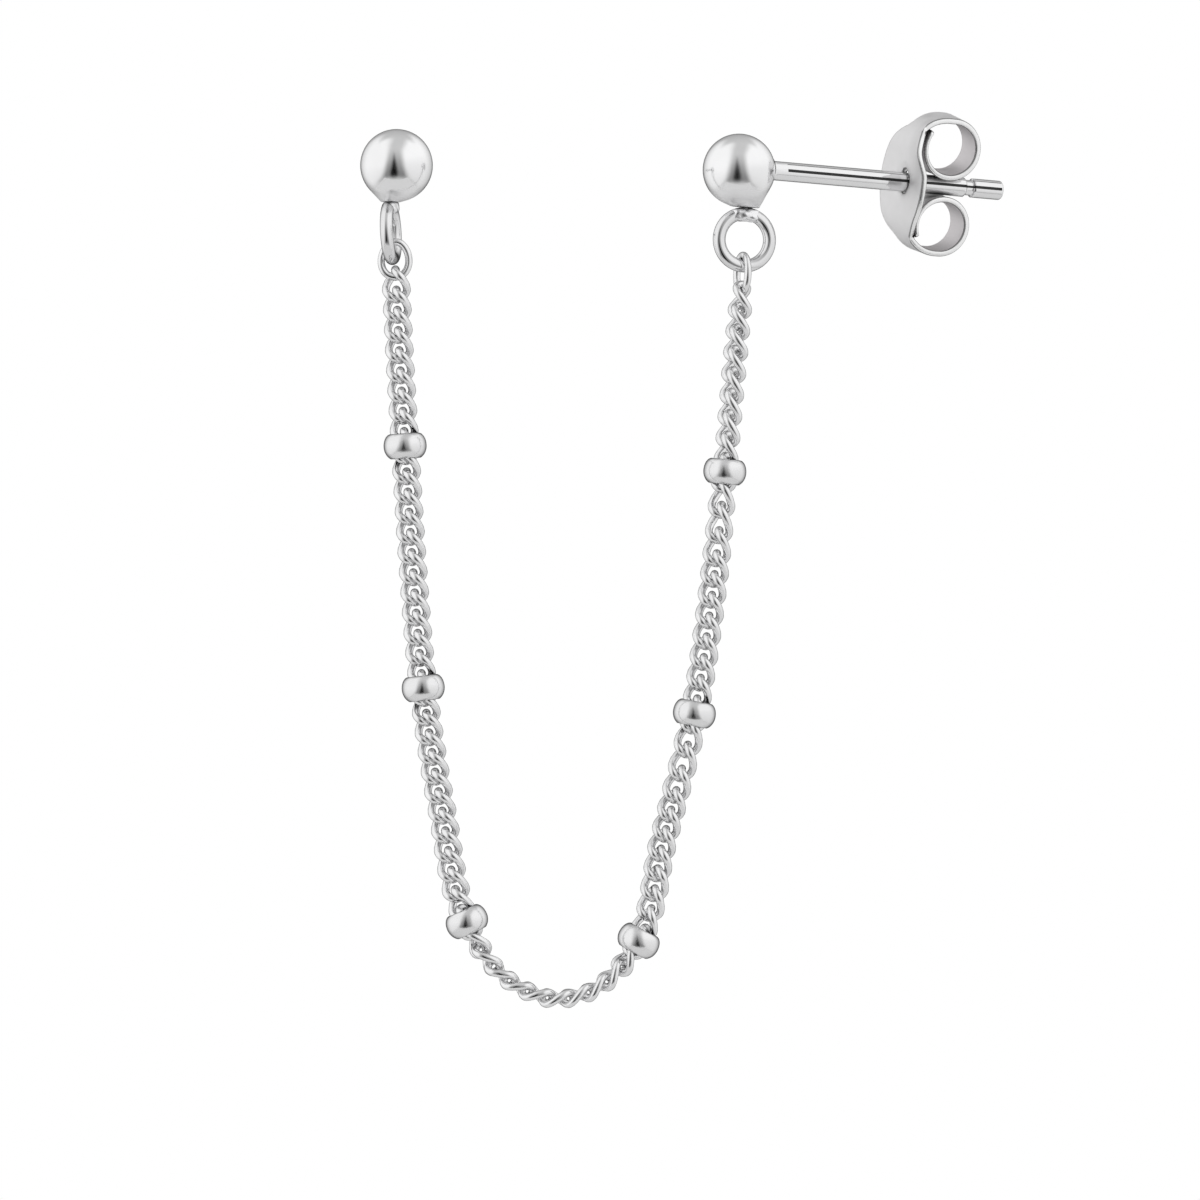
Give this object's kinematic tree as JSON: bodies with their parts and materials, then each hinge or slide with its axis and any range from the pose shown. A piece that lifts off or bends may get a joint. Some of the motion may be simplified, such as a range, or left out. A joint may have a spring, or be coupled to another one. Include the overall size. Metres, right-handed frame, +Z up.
{
  "type": "chain stud earring",
  "caption": "Ball studs joined by a hanging loop of beaded curb chain, with a sliding butterfly back on a post.",
  "frame": {"origin": "spot on the left ball where its post begins, which rests on the front of the ear lobe", "axes": "+Y along the left post into the lobe, +Z up, the chain hanging in the XZ plane towards +X"},
  "size_m": [0.0266, 0.0134, 0.037],
  "materials": {
    "polished_silver": "mirror polished",
    "chain_silver": "bright, drawn wire",
    "satin_silver": "satin, stamped sheet"
  },
  "bodies": {
    "earring": {"left_stud": "polished_silver", "right_stud": "polished_silver", "end_link_left": "chain_silver", "end_link_right": "chain_silver", "chain_left": "chain_silver", "chain_right": "chain_silver", "bead_1": "polished_silver", "bead_2": "polished_silver", "bead_3": "polished_silver", "bead_4": "polished_silver", "bead_5": "polished_silver", "bead_6": "polished_silver"},
    "butterfly": {"butterfly_back": "satin_silver"}
  },
  "joints": [
    {"name": "back_slide", "type": "slide", "parent": "earring", "child": "butterfly", "axis": [0.9116, 0.4059, -0.0645], "range_m": [-0.0055, 0.0046]}
  ]
}
